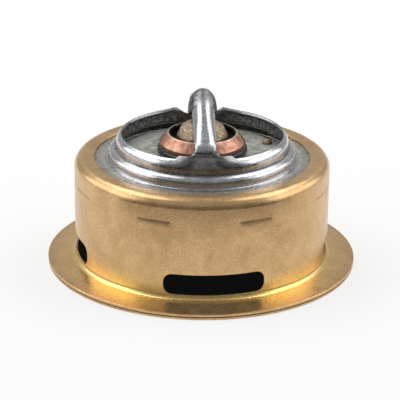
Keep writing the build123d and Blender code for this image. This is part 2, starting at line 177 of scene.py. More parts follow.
def closedGrid(points, wrapRows=True, wrapColumns=True):
    # the points, the quads and, where the rows don't join up, a cap over the first and over the last row
    index = np.arange(points[..., 0].size).reshape(points.shape[:2])
    caps = index[:0] if wrapRows else np.stack([index[0, ::-1], index[-1]])
    return points, cells(points.shape, wrapRows, wrapColumns), caps


def turned(points, degrees):
    # x' = x cos a - y sin a, y' = x sin a + y cos a, z' = z
    c, s = math.cos(math.radians(degrees)), math.sin(math.radians(degrees))
    return points @ np.array([[c, s, 0], [-s, c, 0], [0, 0, 1]])


def wobble(points, scale, seed):
    # a smooth unevenness between about -1 and 1: the mean of eight plane waves with seeded directions and phases
    dice = np.random.default_rng(seed)
    ways = dice.normal(size=(8, 3))
    ways *= (dice.uniform(0.6, 1.5, 8) / np.linalg.norm(ways, axis=1))[:, None]
    return np.sin(points @ ways.T * 2 * np.pi / scale + dice.uniform(0, 2 * np.pi, 8)).mean(-1) * 1.6


def smoothStep(low, high, value):
    # 0 at low, 1 at high and level at both
    share = np.clip((value - low) / (high - low), 0, 1)
    return share * share * (3 - 2 * share)


def addObject(name, data):
    # a new object at the origin, linked into the scene
    thing = bpy.data.objects.new(name, data)
    bpy.context.scene.collection.objects.link(thing)
    return thing


def newMesh(name, *grids):
    # one mesh of closed grids in mm: their faces are welded where they share a rim, and made to face outwards
    points, faces, count = [], [], 0
    for gridPoints, quads, caps in grids:
        points.append(gridPoints.reshape(-1, 3))
        faces += (quads + count).tolist() + (caps + count).tolist()
        count += len(points[-1])
    mesh = bpy.data.meshes.new(name)
    mesh.from_pydata((np.concatenate(points) * mm).tolist(), [], faces)
    work = bmesh.new()
    work.from_mesh(mesh)
    bmesh.ops.remove_doubles(work, verts=work.verts, dist=1e-6)
    bmesh.ops.recalc_face_normals(work, faces=work.faces)
    work.to_mesh(mesh)
    work.free()
    return mesh


def paint(mesh, layer, formula):
    # stores formula(x, y, z, r) of every point, in mm and cut off at 0 and 1, as a layer that the finishes read
    points = np.empty(len(mesh.vertices) * 3)
    mesh.vertices.foreach_get("co", points)
    x, y, z = points.reshape(-1, 3).T / mm
    values = np.clip(formula(x, y, z, np.hypot(x, y)) + 0 * x, 0, 1).astype(np.float32)
    if layer in mesh.attributes:
        mesh.attributes.remove(mesh.attributes[layer])
    mesh.attributes.new(layer, "FLOAT", "POINT").data.foreach_set("value", values)


def near(value, centre, width):
    # a bell curve: 1 at the centre, fading over about `width` to each side
    return np.exp(-((value - centre) / width) ** 2)


def showPiece(name, shape, finish, body, node, crease=35, shadeAndGrime=lambda x, y, z, r: 0, sheenAndBare=lambda x, y, z, r: 0):
    # a mesh or a closed grid becomes the piece that is seen instead of its node's solid
    mesh = newMesh(name, shape) if isinstance(shape, tuple) else shape
    paint(mesh, "shadeAndGrime", shadeAndGrime)
    paint(mesh, "sheenAndBare", sheenAndBare)
    piece = addObject(name, mesh)
    mesh.materials.clear()
    mesh.materials.append(finish)
    mesh.shade_smooth()
    mesh.set_sharp_from_angle(angle=math.radians(crease))
    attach(piece, body)
    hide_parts(node)
    print("piece", name, len(mesh.polygons), "faces")
    return piece


def finished(body, *tools):
    # the body's mesh with its modifiers applied; the body and its tools are removed
    bpy.context.view_layer.update()
    result = bpy.data.meshes.new_from_object(body.evaluated_get(bpy.context.evaluated_depsgraph_get()))
    for thing in (body, *tools):
        bpy.data.objects.remove(thing)
    return result


def cutAway(mesh, cutterMesh):
    # takes the cutter's volume out of the mesh and returns the result
    body, cutter = addObject("cutBody", mesh), addObject("cutTool", cutterMesh)
    change = body.modifiers.new("cut", "BOOLEAN")
    change.operation, change.solver, change.object = "DIFFERENCE", "EXACT", cutter
    return finished(body, cutter)


def fuse(mesh, voxel, rounds):
    # one skin round all the solids of the mesh, in cells of `voxel` mm, then evened out
    work = addObject("fuseBody", mesh)
    skin = work.modifiers.new("skin", "REMESH")
    skin.mode, skin.voxel_size, skin.use_smooth_shade = "VOXEL", voxel * mm, True
    even = work.modifiers.new("even", "SMOOTH")
    even.factor, even.iterations = 0.5, rounds
    return finished(work)


# ---- finishes ----

patchGrainSize, patchRoughening = 0.9, 0.35  # the grain of all painted shade and grime in mm, and how much rougher that layer makes the metal


def setInputs(node, values):
    # gives each named socket of the node its value
    for socket, value in values.items():
        node.inputs[socket].default_value = value


def newFinish(name):
    # a material with nodes
    finish = bpy.data.materials.new(name)
    finish.use_nodes = True
    return finish


def blendNumbers(tree, operation, *terms):
    # a sum or product kept between 0 and 1, whose terms are numbers or sockets
    node = tree.nodes.new("ShaderNodeMath")
    node.operation, node.use_clamp = operation, True
    for socket, term in zip(node.inputs, terms):
        if isinstance(term, float):
            socket.default_value = term
        else:
            tree.links.new(term, socket)
    return node.outputs[0]


def metalFinish(name, look):
    # noise mixes base and stain and adds specks, on some finishes painted glints; the painted layers add bare metal and
    # painted sheen, and painted shade with some grime; wear and that shade move the roughness, and every bump is (size,
    # depth, detail) of a noise
    finish = newFinish(name)
    nodes, links = finish.node_tree.nodes, finish.node_tree.links
    skin = nodes["Principled BSDF"]
    skin.inputs["Metallic"].default_value = look.get("metallic", 1.0)
    place = nodes.new("ShaderNodeTexCoord")
    stretch = nodes.new("ShaderNodeMapping")
    stretch.inputs["Scale"].default_value = look.get("stretch", (1, 1, 1))
    links.new(place.outputs["Object"], stretch.inputs["Vector"])

    def noise(size, detail=3.0, rough=0.55, distortion=0.0, plain=False):
        grainNode = nodes.new("ShaderNodeTexNoise")
        setInputs(grainNode, {"Scale": 1 / (size * mm), "Detail": detail, "Roughness": rough, "Distortion": distortion})
        links.new(place.outputs["Object"] if plain else stretch.outputs["Vector"], grainNode.inputs["Vector"])
        return grainNode.outputs["Fac"]

    def between(value, low, high, toLow=0.0, toHigh=1.0):
        span = nodes.new("ShaderNodeMapRange")
        setInputs(span, {"From Min": low, "From Max": high, "To Min": toLow, "To Max": toHigh})
        links.new(value, span.inputs["Value"])
        return span.outputs["Result"]

    def layer(name):
        painted = nodes.new("ShaderNodeAttribute")
        painted.attribute_name = name
        return painted.outputs["Fac"]

    def mix(share, colourA, colourB):
        blend = nodes.new("ShaderNodeMix")
        blend.data_type = "RGBA"
        links.new(share, blend.inputs["Factor"])
        for socket, colour in ((blend.inputs["A"], colourA), (blend.inputs["B"], colourB)):
            if isinstance(colour, tuple):
                socket.default_value = (*colour, 1)
            else:
                links.new(colour, socket)
        return blend.outputs["Result"]

    colour = mix(between(noise(look["stainSize"], 4, 0.6, 0.4), 0.38, 0.66), look["base"], look["stain"])
    if "specksAndGlints" in look:
        grain = noise(look["speckSize"], 2, 0.5, plain=True)
        spots = between(grain, look["speckFrom"], look["speckFrom"] + 0.05)
        colour = mix(spots, colour, look["specksAndGlints"])
    if "sheenAndBare" in look:
        colour = mix(layer("sheenAndBare"), colour, look["sheenAndBare"])
    if "fine" in look:
        size, amount = look["fine"]
        shade = between(noise(size, 2, 0.5, plain=True), 0.3, 0.7, 1 - amount, 1 + amount)
        scale = nodes.new("ShaderNodeVectorMath")
        scale.operation = "SCALE"
        links.new(colour, scale.inputs[0])
        links.new(shade, scale.inputs["Scale"])
        colour = scale.outputs["Vector"]
    # patchy noise times the painted layer: how much painted shade and grime darkens the colour and roughens the metal
    patchy = between(noise(patchGrainSize, 3, plain=True), 0.25, 0.6, 0.55, 1.15)
    thick = blendNumbers(finish.node_tree, "MULTIPLY", layer("shadeAndGrime"), patchy)
    colour = mix(thick, colour, look.get("shadeAndDirt", (0.035, 0.028, 0.022)))
    links.new(colour, skin.inputs["Base Color"])
    wear = between(noise(look["wearSize"], 3), 0.3, 0.7, *look["rough"])
    links.new(blendNumbers(finish.node_tree, "MULTIPLY_ADD", thick, patchRoughening, wear), skin.inputs["Roughness"])
    normal = None
    for size, depth, detail in look["bumps"]:
        bump = nodes.new("ShaderNodeBump")
        setInputs(bump, {"Strength": 1.0, "Distance": depth * mm})
        links.new(noise(size, detail), bump.inputs["Height"])
        if normal is not None:
            links.new(normal, bump.inputs["Normal"])
        normal = bump.outputs["Normal"]
    links.new(normal, skin.inputs["Normal"])
    return finish


# bare is the bright yellow colour of the brass's painted reflections
brassLook = dict(metallic=0.80, base=(0.68, 0.435, 0.215), stain=(0.56, 0.345, 0.160), stainSize=6, wearSize=2.5,
                 rough=(0.22, 0.34), specksAndGlints=(0.36, 0.22, 0.11), speckSize=0.8, speckFrom=0.75, fine=(0.35, 0.15),
                 sheenAndBare=(0.97, 0.71, 0.26), shadeAndDirt=(0.09, 0.055, 0.03),
                 bumps=[(0.35, 0.010, 2), (1.6, 0.014, 2), (9, 0.06, 1)])
plateLook = dict(base=(0.86, 0.85, 0.82), stain=(0.62, 0.62, 0.59), stainSize=1.8, wearSize=1.2, rough=(0.30, 0.46),
                 fine=(0.3, 0.12), shadeAndDirt=(0.10, 0.07, 0.05), bumps=[(0.5, 0.012, 3)])
frameLook = dict(base=(0.62, 0.62, 0.63), stain=(0.46, 0.465, 0.48), stainSize=2.6, wearSize=1.4, rough=(0.15, 0.30),
                 specksAndGlints=(0.28, 0.27, 0.26), speckSize=0.45, speckFrom=0.66, fine=(0.3, 0.20), shadeAndDirt=(0.052, 0.052, 0.052),
                 bumps=[(0.4, 0.008, 3), (2.2, 0.014, 2)])
# bare is the colour of the disc's painted highlight ring
discLook = dict(metallic=0.60, base=(0.64, 0.64, 0.58), stain=(0.31, 0.31, 0.26), stainSize=1.5, wearSize=0.9,
                rough=(0.36, 0.58), specksAndGlints=(0.08, 0.07, 0.055), speckSize=0.45, speckFrom=0.66, fine=(0.25, 0.15),
                sheenAndBare=(0.85, 0.86, 0.82), shadeAndDirt=(0.03, 0.028, 0.02), bumps=[(0.45, 0.02, 3)])
copperLook = dict(base=(0.58, 0.33, 0.225), stain=(0.34, 0.145, 0.105), sheenAndBare=(0.62, 0.58, 0.50), stainSize=1.3,
                  wearSize=0.8, rough=(0.26, 0.48), specksAndGlints=(0.20, 0.10, 0.07), speckSize=0.40, speckFrom=0.70,
                  stretch=(1, 1, 0.3), fine=(0.25, 0.14), shadeAndDirt=(0.03, 0.018, 0.013), bumps=[(0.35, 0.03, 3)])
# the dome's pale specks are painted glints
domeLook = dict(base=(0.46, 0.35, 0.25), stain=(0.22, 0.155, 0.10), stainSize=1.0, wearSize=0.5, rough=(0.42, 0.66),
                specksAndGlints=(0.85, 0.74, 0.58), speckSize=0.5, speckFrom=0.62, fine=(0.2, 0.20), shadeAndDirt=(0.035, 0.03, 0.015),
                bumps=[(0.33, 0.06, 3)])
wireLook = dict(base=(0.40, 0.40, 0.42), stain=(0.28, 0.28, 0.29), stainSize=2, wearSize=1, rough=(0.22, 0.38),
                bumps=[(0.4, 0.006, 2)])
pistonLook = dict(base=(0.70, 0.70, 0.72), stain=(0.60, 0.60, 0.62), stainSize=2, wearSize=1, rough=(0.08, 0.16),
                  stretch=(1, 1, 6), bumps=[(0.3, 0.001, 1)])
# the rubber's lighter specks are painted glints
rubberLook = dict(metallic=0.0, base=(0.020, 0.018, 0.018), stain=(0.050, 0.040, 0.040), stainSize=1.2, wearSize=0.8,
                  rough=(0.22, 0.50), specksAndGlints=(0.14, 0.12, 0.12), speckSize=0.4, speckFrom=0.70, bumps=[(0.7, 0.09, 3)])
slipLook = dict(metallic=0.0, base=(0.80, 0.80, 0.78), stain=(0.70, 0.70, 0.67), stainSize=3, wearSize=2,
                rough=(0.40, 0.55), bumps=[(0.5, 0.004, 2)])
waxLook = dict(metallic=0.0, base=(0.55, 0.33, 0.20), stain=(0.42, 0.24, 0.15), stainSize=2, wearSize=1,
               rough=(0.50, 0.70), bumps=[(0.6, 0.02, 3)])

brass, plateZinc = metalFinish("tarnishedBrass", brassLook), metalFinish("dullZinc", plateLook)
frameZinc, discSteel = metalFinish("brightZinc", frameLook), metalFinish("mottledDisc", discLook)
copper, domeBrass = metalFinish("scratchedCopper", copperLook), metalFinish("castDome", domeLook)
wireSteel, groundSteel = metalFinish("springWire", wireLook), metalFinish("groundSteel", pistonLook)
rubber, slipRing = metalFinish("blackRubber", rubberLook), metalFinish("paleSlipRing", slipLook)
wax = metalFinish("wax", waxLook)
print("finishes ready")


# ---- brass can: flange, wall and rolled-in lip, with four windows and eight stakes ----

canShape = dict(flangeR=36.5, wallR=30.0, insideR=29.4, flangeLow=0.72, flangeHigh=1.32, flangeRoot=1.95, topZ=26.0,
                lipR=25.3, lipLow=25.12, lipHigh=25.74, root=0.95, shoulder=2.3, windowLength=22.8, windowLow=3.0,
                windowHigh=7.9, windowCorner=2.0, windowTurn=5.0, stakeLine=20.4, stakeFoot=18.4, stakeDepth=0.09,
                stakeArc=15.5, stakeTurn=23.2, stakeStep=45.0, insideTop=25.4, insideBend=1.7, footBend=2.2,
                edgeBend=0.16, lipBend=0.22)


def windowCutter(shape, turn):
    # a rounded rectangle carried outwards along cylinders about the can's axis, flared where it leaves the wall
    halfLength, middle = shape["windowLength"] / 2, (shape["windowLow"] + shape["windowHigh"]) / 2
    halfHeight = (shape["windowHigh"] - shape["windowLow"]) / 2
    corners = block(-halfLength, halfLength, -halfHeight, halfHeight)
    loop = roundedLoop(corners, shape["windowCorner"], step=10, reach=0.4, longest=0.8)
    outward = -normalsOf(np.vstack([loop, loop[:1]]))[1][:-1]
    reach = np.array([26.5, 29.3, 29.42, 29.5, 29.9, 29.97, 30.03, 30.1, 33.0])
    flare = np.array([0.2, 0.2, 0.06, 0.0, 0.0, 0.04, 0.13, 0.3, 0.3])
    ring = loop[None] + outward[None] * flare[:, None, None]
    along = ring[..., 0]
    points = np.stack([along, -np.sqrt(reach[:, None] ** 2 - along ** 2), ring[..., 1] + middle], -1)
    return closedGrid(turned(points, turn), wrapRows=False)


def stakeOff(turn):
    # how many degrees an angle, counted from +X, is away from the middle of the nearest stake
    step = canShape["stakeStep"]
    return np.abs((turn + 90 - canShape["stakeTurn"] + step / 2) % step - step / 2)


def makeCan(shape):
    # the outline runs up the outside, over the lip, down the inside and back along the flange's underside
    outline = cornersOf(shape, "flangeR flangeHigh wallR flangeRoot wallR topZ lipR lipHigh lipR lipLow "
                               "insideR insideTop insideR flangeLow flangeR flangeLow")
    bends = cornersOf(shape, "edgeBend root shoulder lipBend edgeBend insideBend footBend edgeBend").ravel()
    loop = roundedLoop(outline, bends, step=6, longest=3)
    stakeLine = shape["stakeLine"]
    loop = addLevels(loop, [*np.linspace(shape["stakeFoot"], stakeLine - 0.25, 7), stakeLine - 0.03, stakeLine + 0.03,
                            stakeLine + 0.3])
    turn = fullTurn(576)
    points = spin(loop, turn)
    # the metal under each stake line is pressed in, most at the line and fading out below it
    side = 1 - smoothStep(shape["stakeArc"] / 2 - 0.7, shape["stakeArc"] / 2, stakeOff(turn))
    height, radius = loop[:, 1], loop[:, 0]
    share = (height - shape["stakeFoot"]) / (stakeLine - shape["stakeFoot"])
    drop = np.where(height < stakeLine, np.clip(share, 0, 1), 0) ** 3.5
    inward = shape["stakeDepth"] * side[:, None] * (drop * (radius > 29))[None]
    points[..., :2] *= (1 - inward / radius[None])[..., None]
    mesh = newMesh("canBlank", closedGrid(points))
    tools = newMesh("windowTools", *(windowCutter(shape, shape["windowTurn"] + 90 * k) for k in range(4)))
    return cutAway(mesh, tools)


def canPaintedShade(x, y, z, r):
    # painted shade: dark in the root of the flange, inside the wall under the lip, along each stake line and round the
    # cut edges of the windows
    stake = 0.75 * near(z, 20.33, 0.13) * (stakeOff(np.degrees(np.arctan2(y, x))) < canShape["stakeArc"] / 2)
    cut = 0.5 * ((z > 2.9) & (z < 8.0) & (r > 29.45) & (r < 29.96))
    return 0.6 * near(z, 2.75, 0.14) * (np.abs(r - 30) < 0.1) + (r < 29.45) * (z < 25.0) + stake + cut


def canPaintedReflection(x, y, z, r):
    # painted reflection: brighter, yellower colour low on the wall and on the inner half of the flange, most on both
    # sides of the front
    around = np.abs(np.degrees(np.arctan2(x, -y)))
    patch = np.exp(-np.clip(z - 2.6, 0, 30) / 1.7) * (1 - smoothStep(33.5, 36, r))
    return patch * (0.40 + 0.60 * near(around, 38, 17)) + 0.04


showPiece("brassCan", makeCan(canShape), brass, "housing", "housing_can", crease=30, shadeAndGrime=canPaintedShade,
          sheenAndBare=canPaintedReflection)


def flatRing(shape, lip, count):
    # a flat sheet between two radii, taken round the axis
    line = cornersOf(shape, "innerR middleZ outerR middleZ")
    return closedGrid(spin(sheetLoop(refine(line, 0.2, 2), shape["sheet"], lip), fullTurn(count)))


# painted shade along the top of the outer edge, in the groove under the can's flange
showPiece("flangeRing", flatRing(dict(innerR=29.4, outerR=36.45, middleZ=0.33, sheet=0.66), 0.2, 360), brass, "housing",
          "base_ring", shadeAndGrime=lambda x, y, z, r: 0.9 * smoothStep(0.42, 0.6, z) * (r > 36))

plateShape = dict(boreR=20.2, rimR=28.85, faceZ=24.9, rimZ=20.4, bend=1.4, sheet=1.0, dish=0.45, dishIn=26.1,
                  dishOut=26.6)
plateLine = roundedLine(cornersOf(plateShape, "boreR faceZ rimR faceZ rimR rimZ"), plateShape["bend"])
plateLoop = sheetLoop(plateLine, plateShape["sheet"], 0.15)
# the upper face is coined down inside the rim
inDish = 1 - smoothStep(plateShape["dishIn"], plateShape["dishOut"], plateLoop[:, 0])
plateLoop[:, 1] -= plateShape["dish"] * (plateLoop[:, 1] > plateShape["faceZ"]) * inDish
# painted shade: dark under the can's lip, and a painted shadow line round the bridge frame's foot
showPiece("seatPlate", closedGrid(spin(plateLoop, fullTurn(360))), plateZinc, "housing", "seat_plate",
          shadeAndGrime=lambda x, y, z, r: (smoothStep(24.6, 25.25, r) + 0.7 * near(r, 22.88, 0.1)) * (z > 24))


# ---- bridge frame: stepped ring with a leaning rim, two lugs, arch and drawn socket ----

frameShape = dict(sheet=0.7, footR=22.8, footZ=25.75, stepR=21.7, stepZ=27.75, wallR=19.9, bendZ=29.3, footBend=0.5,
                  stepBend=1.3, crease=0.42, rimBend=1.8, rimLean=62.0, rimEnd=0.12, leanFrom=1.5, leanFull=10.0,
                  frontLug=32.3, rearLug=29.5, lugFillet=1.5, rearFillet=1.2, kneeZ=34.85, peakZ=41.5, kneeBend=3.5,
                  crownBend=14.0, baseWidth=4.75, crownWidth=5.45, baseDepth=1.0, crownDepth=2.3, socketR=3.38,
                  socketFoot=36.2, socketTop=41.96, crestTop=40.76)


def leanAt(shape, off):
    # how far the rim leans in: full away from the lugs, nothing in the middle of one
    return np.radians(shape["rimLean"]) * smoothStep(shape["leanFrom"], shape["leanFull"], off)


def rimLine(shape, off, height):
    # the rim's middle line: an even bend of one length, then straight; gives the way in, the way up and the lean
    lean = np.maximum(leanAt(shape, off), 1e-4)
    bendLength = shape["rimBend"] * math.radians(shape["rimLean"])
    rate = lean / bendLength
    bent = np.minimum(height, bendLength)
    straight = height - bent
    angle = rate * bent
    return (1 - np.cos(angle)) / rate + straight * np.sin(angle), np.sin(angle) / rate + straight * np.cos(angle), angle


def makeFrame(shape):
    # one closed section for each azimuth: the foot and the step are the same all round, and the rim above them
    # leans in, or stands up and grows longer in the lugs; the arch is a skin of its own
    sheet, wallR, bendZ = shape["sheet"], shape["wallR"], shape["bendZ"]
    foot = roundedLine(cornersOf(shape, "wallR bendZ wallR stepZ stepR stepZ stepR footZ footR footZ"),
                       [shape["crease"], shape["stepBend"], shape["footBend"]], step=8)
    lower = hairpin(foot, sheet, 0.1)
    # the foot is thinner than the sheet and lies in the dished plate
    lower[:, 1] = np.interp(lower[:, 1], [25.4, 26.1, 27.0, 40.0], [24.97, 25.42, 27.0, 40.0])
    fine = np.degrees(np.linspace(-11, 11, 111) / wallR)
    coarse = np.linspace(fine[-1] - 90, 90 - fine[-1], 150)[1:-1]
    turn = np.concatenate([front + fine, coarse, rear + fine, coarse + 180])
    offFront, offRear = (wallR * np.abs(np.radians((turn - middle + 180) % 360 - 180)) for middle in (front, rear))
    off = np.minimum(offFront, offRear)
    ringEnd = shape["rimBend"] * math.radians(shape["rimLean"]) + shape["rimEnd"]
    reach = ringEnd + (shape["frontLug"] - bendZ - 0.05 - ringEnd) * (1 - smoothStep(6.2, 7.4, offFront))
    reach += (shape["rearLug"] - bendZ - ringEnd) * (1 - np.clip((offRear - 3.3) / 2.7, 0, 1))
    # rows of the upper half: up the inner face, round the cut edge and down the outer face
    half, lip = sheet / 2, 0.11
    share = np.concatenate([np.linspace(0, 0.85, 12), [0.93, 1.0]])
    height = share[None] * (reach[:, None] - lip)
    inward, upward, angle = rimLine(shape, off[:, None], height)
    middle = np.stack([wallR - inward, bendZ + upward], -1)
    outward = np.stack([np.cos(angle), np.sin(angle)], -1)
    ahead = np.stack([-np.sin(angle), np.cos(angle)], -1)
    around = np.radians(np.linspace(-90, 90, 9))[1:-1][None, :, None]
    edge = middle[:, -1:] + ahead[:, -1:] * lip * np.sqrt(np.cos(around)) + outward[:, -1:] * half * np.sin(around)
    upper = np.concatenate([middle - outward * half, edge, (middle + outward * half)[:, ::-1]], 1)[:, 1:-1]
    section = np.concatenate([np.broadcast_to(lower, (len(turn), *lower.shape)), upper], 1)
    angles = np.radians(turn)[:, None]
    points = np.stack([np.cos(angles) * section[..., 0], np.sin(angles) * section[..., 0], section[..., 1]], -1)
    return newMesh("bridgeFrame", closedGrid(points), archSkin(shape))


def archSkin(shape):
    # A sheet carried along the crest line from the rear lug over the crown to the front lug. Its section is the
    # rim's own in the lugs and half an ellipse on the arch; at the crown it rises and widens into the socket.
    half, sunk = shape["sheet"] / 2, 0.75
    outR = shape["wallR"] + half
    crest = roundedLine([(outR, shape["rearLug"] - sunk), (outR, shape["kneeZ"]), (0, shape["peakZ"]),
                         (-outR, shape["kneeZ"]), (-outR, shape["frontLug"] - sunk)],
                        [shape["kneeBend"], shape["crownBend"], shape["kneeBend"]], step=2, longest=0.4)
    length = lengthAlong(crest)
    total, fillet = length[-1], shape["lugFillet"]
    reach = np.linspace(0.0, 1, 16) ** 1.5 * (fillet + 0.2)
    at = np.unique(np.round(np.concatenate([np.linspace(0, total, 240), np.linspace(0, sunk, 6), sunk + reach,
                                            total - sunk - reach, total - np.linspace(0, sunk, 6),
                                            total / 2 + np.linspace(-5, 5, 90)]), 6))
    tangent, _ = normalsOf(crest)
    path, ahead = pointsAt(at, length, crest), unit(pointsAt(at, length, tangent))
    up = np.stack([ahead[:, 1], -ahead[:, 0]], 1)
    up *= np.sign(np.sum(up * np.stack([path[:, 0], np.full(len(path), 60.0)], 1), 1))[:, None]
    y = path[:, 0]
    fromLug = np.minimum(at, total - at) - sunk  # how far above its lug's edge a row lies
    middle = 1 - np.abs((at - sunk) / (total - 2 * sunk) * 2 - 1)  # 0 at both ends, 1 at the crown
    channel = smoothStep(0.0, 2.7, fromLug)
    slim = smoothStep(0.1, fillet + 0.6, fromLug)
    fillet = np.where(y > 0, shape["rearFillet"], fillet)
    depth = shape["baseDepth"] + (shape["crownDepth"] - shape["baseDepth"]) * smoothStep(0.12, 0.75, middle)
    width = (shape["baseWidth"] + (shape["crownWidth"] - shape["baseWidth"]) * np.clip(middle, 0, 1)) / 2
    reachIn = np.minimum(np.clip(fillet - fromLug, 0, None), fillet)
    edge = width + fillet - np.sqrt(np.clip(fillet ** 2 - reachIn ** 2, 0, None))
    # the socket for the pin: the crown rises, widens and grows deeper sides towards its middle
    lift = (shape["socketTop"] - shape["crestTop"]) * near(y, 0, 3.4)
    atCrown = (1 - smoothStep(2.2, 4.9, np.abs(y)))[:, None]
    wide = edge + (shape["socketR"] - edge) * atCrown[:, 0]
    depth = depth + (path[:, 1] - shape["socketFoot"] - depth) * atCrown[:, 0]
    t = np.sin(np.linspace(-1, 1, 45) * np.pi / 2)[None]
    x = (wide - half * slim)[:, None] * t * (1 + 0.12 * (1 - t ** 2) * atCrown)
    lug = np.where(y > 0, shape["rearLug"], shape["frontLug"]) - shape["bendZ"]
    inward, upward, _ = rimLine(shape, np.abs(x), np.clip(fromLug + lug, 0, None)[:, None])
    wallDrop = shape["wallR"] - np.sqrt(shape["wallR"] ** 2 - np.clip(np.abs(x), 0, 12) ** 2) + inward
    trough = (depth - half + lift)[:, None] * (1 - np.sqrt(np.clip(1 - t ** 2, 0, 1))) - lift[:, None]
    drop = (1 - channel[:, None]) * wallDrop + channel[:, None] * trough
    sag = (1 - channel[:, None]) * (np.clip(fromLug + lug, 0, None)[:, None] - upward)
    flat = path - up * half
    skin = np.stack([x, flat[:, :1] - up[:, :1] * drop, flat[:, 1:] - up[:, 1:] * drop - sag], -1)
    normal = unit(np.cross(np.gradient(skin, axis=0), np.gradient(skin, axis=1)))
    normal *= np.sign(np.sum(normal[..., 1:] * up[:, None], 2, keepdims=True) + 1e-9)
    # both faces and the two softened edges make one closed row; in the lug the sheet sinks just under its faces
    thick = (half + 0.015 * (2 * smoothStep(-sunk, -0.2, fromLug) - 1))[:, None, None]
    around = np.radians(np.linspace(90, -90, 9))[1:-1][None, :, None]
    right, left = skin[:, -1:], skin[:, :1]
    awayRight, awayLeft = unit(right - skin[:, -2:-1]), unit(left - skin[:, 1:2])
    lip, rise = 0.11 * np.sqrt(np.cos(around)), thick * np.sin(around)
    rows = np.concatenate([skin + normal * thick, right + awayRight * lip + normal[:, -1:] * rise,
                           (skin - normal * thick)[:, ::-1], left + awayLeft * lip - normal[:, :1] * rise], 1)
    return closedGrid(turned(rows, skew), wrapRows=False)


def framePaintedShade(x, y, z, r):
    # painted shade: the ring's inner wall is dark, the crease over the step a little; the far half of its cut edge is
    # darker and rougher, and so are the top of the crown and the sides of the arch
    inner = 0.80 * (r < 19.62) * (1 - smoothStep(30.2, 30.9, z)) * (r > 17)
    crease = (0.55 * near(z, 28.13, 0.12) + 0.4 * near(z, 28.5, 0.45)) * (r > 20) * (r < 20.6)
    across = 0.469 * r + 0.883 * z
    edge = 0.8 * smoothStep(36.25, 36.42, across) * (z > 30.6) * (r < 19.6) * (r > 17) * smoothStep(0, 6, y)
    below = np.interp(np.abs(y), [0, 2, 5, 20], [42, 41.6, 40.1, 34.9]) - z
    arch = (0.62 * (1 - smoothStep(2.8, 6.5, np.abs(y))) + 0.50 * smoothStep(0.8, 1.7, below)) * (z > 33.2)
    # painted shade also on the front lug round the arch's root
    root = 0.42 * smoothStep(31.0, 31.7, z) * (1 - smoothStep(33.6, 36.0, z)) * (y < -15)
    root *= 1 - smoothStep(6.0, 7.6, np.abs(x - 0.44))
    # the last term is a painted shadow line along the foot's edge, where it lies on the plate
    return inner + crease + edge + arch + root + 0.35 * near(z, 25.0, 0.12) * (r > 22)


showPiece("bridgeFrame", makeFrame(frameShape), frameZinc, "housing", "bridge_frame", crease=50,
          shadeAndGrime=framePaintedShade)


# ---- the valve's own pieces ----

discShape = dict(holeR=7.7, neckR=19.15, topZ=26.15, flangeR=21.6, flangeZ=23.85, neckBend=1.2, footBend=0.6, sheet=0.9)
discLine = roundedLine(cornersOf(discShape, "holeR topZ neckR topZ neckR flangeZ flangeR flangeZ"),
                       [discShape["neckBend"], discShape["footBend"]])
discMesh = newMesh("discBlank", closedGrid(spin(sheetLoop(discLine, discShape["sheet"], 0.15), fullTurn(300))))
jiggleShape = dict(fromAxis=16.7, turn=111.0, hole=0.95, holeLow=25.0, holeHigh=27.2, head=1.2, shank=0.65, top=26.6,
                   weightTop=24.5, weightLow=22.9, weightR=1.2, lump=0.07)
jiggleTurn = math.radians(jiggleShape["turn"])
jiggleSpot = np.array([math.sin(jiggleTurn), -math.cos(jiggleTurn), 0]) * jiggleShape["fromAxis"]


def drill(radius, low, high, spot=0.0):
    # a plain cylinder: its outline, begun and ended on the axis, taken round and moved to its spot
    return closedGrid(spin(np.array(block(0, radius, low, high)), fullTurn(40)) + spot, wrapColumns=False)


jiggleDrill = drill(jiggleShape["hole"], jiggleShape["holeLow"], jiggleShape["holeHigh"], jiggleSpot)
discMesh = cutAway(discMesh, newMesh("jiggleDrill", jiggleDrill))
# painted shade darkens the disc's neck towards the frame and a ring round the seal; the pale ring on its top is a
# painted highlight
showPiece("valveDisc", discMesh, discSteel, "valve", "valve_disc",
          shadeAndGrime=lambda x, y, z, r: 0.25 * smoothStep(18.7, 19.7, r) + 0.4 * near(r, 10.7, 0.6),
          sheenAndBare=lambda x, y, z, r: 0.55 * near(r, 17.3, 0.8) * (z > 26))

sealShape = dict(corners=[(7.7, 26.6), (10.75, 26.6), (10.45, 28.38), (7.7, 28.38)], radii=[0.05, 0.7, 0.6, 0.05],
                 lump=0.14, lumpIn=9.6, lumpOut=10.3)
sealLoop = roundedLoop(sealShape["corners"], sealShape["radii"], step=12, longest=0.35)
sealPoints = spin(sealLoop, fullTurn(300))
sealOut = smoothStep(sealShape["lumpIn"], sealShape["lumpOut"], sealLoop[:, 0])[None]
swell = 1 - sealShape["lump"] * (0.5 + 0.5 * wobble(sealPoints, 2.2, 5)) * sealOut / sealShape["corners"][1][0]
sealPoints[..., :2] *= swell[..., None]
# painted shade on the seal's foot, where it sits on the disc
showPiece("elementSeal", closedGrid(sealPoints), rubber, "valve", "element_seal",
          shadeAndGrime=lambda x, y, z, r: 0.8 * (z < 26.9))

waxCanShape = dict(corners=[(0, 8.9), (5, 8.9), (5, 9.5), (4.4, 9.5), (4.4, 10.2), (5, 10.2), (5, 11.5), (7.6, 11.5),
                            (7.6, 28.4), (10.07, 28.4), (10.07, 29.3), (8.15, 31.5), (7.09, 31.5), (9.09, 29.2),
                            (6.8, 29.2), (6.8, 12.3), (0, 12.3)],
                   radii=[0.25, 0.05, 0.05, 0.05, 0.05, 0.1, 0.5, 0.3, 0.3, 0.6, 0.42, 0.42, 0.1, 0.1, 0.3])


def turnedPiece(shape, count, **spacing):
    # an outline from axis to axis with rounded corners, taken round
    line = roundedLine(shape["corners"], shape["radii"], step=10, **spacing)
    return closedGrid(spin(line, fullTurn(count)), wrapColumns=False)


